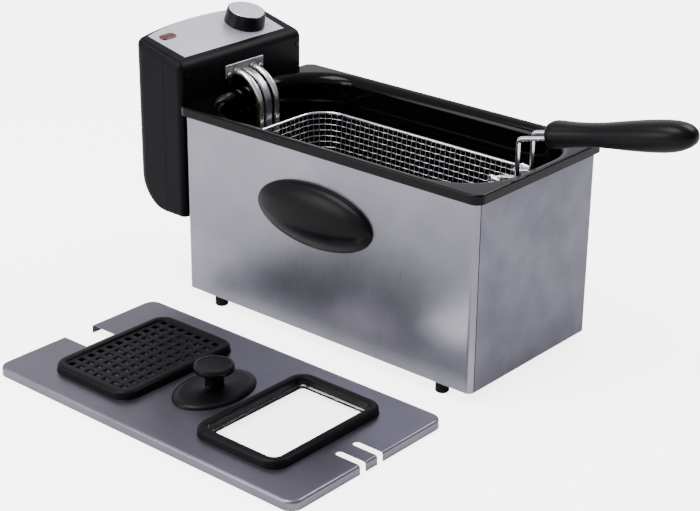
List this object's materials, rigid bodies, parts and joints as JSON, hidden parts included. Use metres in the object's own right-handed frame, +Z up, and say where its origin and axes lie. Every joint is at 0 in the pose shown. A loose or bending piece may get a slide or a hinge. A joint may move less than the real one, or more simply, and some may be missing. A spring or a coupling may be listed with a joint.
{
  "type": "deep fryer",
  "caption": "Boxy steel deep fryer with lift-out oil pot, lift-off control head with immersed element, wire basket with folding handle, and a separate vented lid with window.",
  "frame": {"origin": "centre of the whole set's footprint on the floor: midway between the head's rear and the tip of the basket handle in X, and midway between the far edge of the lid on the floor and the far side grip in Y, at the level of the feet's soles", "axes": "+X from the control head towards the basket handle, +Y from the lid towards the fryer, +Z up"},
  "size_m": [0.6193, 0.4544, 0.2904],
  "materials": {
    "casing_steel": "brushed, softly reflective",
    "foot_rubber": "matte",
    "screw_steel": "machined",
    "black_plastic": "fine grain",
    "pot_enamel": "glossy dark enamel",
    "head_plastic": "satin",
    "plate_silver": "brushed silver",
    "lens_glass": "translucent red-brown",
    "lamp_glass": "clear bulb",
    "switch_ceramic": "matte",
    "switch_plastic": "matte",
    "terminal_plastic": "matte",
    "plate_steel": "satin",
    "element_steel": "satin, slightly blued",
    "sensor_steel": "satin",
    "sensor_copper": "dull copper",
    "knob_plastic": "satin",
    "spindle_steel": "turned",
    "button_red": "glossy",
    "basket_wire": "bright wire",
    "handle_chrome": "bright wire",
    "grip_plastic": "fine grain",
    "lid_steel": "brushed",
    "lid_plastic": "fine grain",
    "filter_mesh": "woven wire",
    "window_glass": "clear"
  },
  "bodies": {
    "casing": {"left_casing_sheet": "casing_steel", "front_casing_sheet": "casing_steel", "base_plate": "casing_steel", "feet": "foot_rubber", "foot_screws": "screw_steel", "foot_nuts": "screw_steel", "rim_frame": "black_plastic", "left_grip": "black_plastic", "right_grip": "black_plastic", "grip_screws": "screw_steel", "head_rail": "black_plastic", "rail_screws": "screw_steel"},
    "pot": {"oil_pot": "pot_enamel"},
    "head": {"head_rear_shell": "head_plastic", "head_front_cover": "head_plastic", "cover_screws": "screw_steel", "control_plate": "plate_silver", "indicator_lens": "lens_glass", "indicator_lamp": "lamp_glass", "thermostat": "switch_ceramic", "thermal_cutout": "switch_plastic", "interlock_switch": "switch_plastic", "terminal_block": "terminal_plastic", "cord_gland": "black_plastic", "element_plate": "plate_steel", "element_screws": "screw_steel", "heating_element": "element_steel", "sensor_cover": "sensor_steel", "sensor_bulb": "sensor_copper"},
    "knob": {"control_knob": "knob_plastic", "knob_insert": "plate_silver", "thermostat_spindle": "spindle_steel"},
    "reset_button": {"reset_button": "button_red"},
    "basket": {"basket_rim": "basket_wire", "basket_mesh": "basket_wire", "basket_bracket": "basket_wire"},
    "basket_handle": {"handle_wires": "handle_chrome", "handle_grip": "grip_plastic"},
    "lid": {"lid_plate": "lid_steel", "filter_cover": "lid_plastic", "grease_filter": "filter_mesh", "window_frame": "lid_plastic", "window_glass": "window_glass", "window_retainer": "lid_plastic", "lid_knob_base": "lid_plastic", "lid_knob": "knob_plastic", "lid_knob_screw": "screw_steel"}
  },
  "joints": [
    {"name": "pot_lift", "type": "slide", "parent": "casing", "child": "pot", "axis": [0, 0, 1], "range_m": [0, 0.18]},
    {"name": "head_lift", "type": "slide", "parent": "pot", "child": "head", "axis": [0, 0, 1], "range_m": [0, 0.18]},
    {"name": "knob_turn", "type": "hinge", "parent": "head", "child": "knob", "pos_m": [-0.26649, 0.1575, 0.25972], "axis": [0.2419, 0, 0.9703], "range_deg": [-250, 0]},
    {"name": "reset_press", "type": "slide", "parent": "head", "child": "reset_button", "axis": [1, 0, 0], "range_m": [0, 0.0015], "stiffness_N_per_m": 400, "springref_m": -0.002},
    {"name": "basket_lift", "type": "slide", "parent": "head", "child": "basket", "axis": [0, 0, 1], "range_m": [0, 0.16]},
    {"name": "handle_fold", "type": "hinge", "parent": "basket", "child": "basket_handle", "pos_m": [0.11151, 0.1155, 0.1945], "axis": [0, -1, 0], "range_deg": [0, 165]},
    {"name": "lid_lift", "type": "slide", "parent": "casing", "child": "lid", "axis": [0, 0, 1], "range_m": [0, 0.3]}
  ]
}
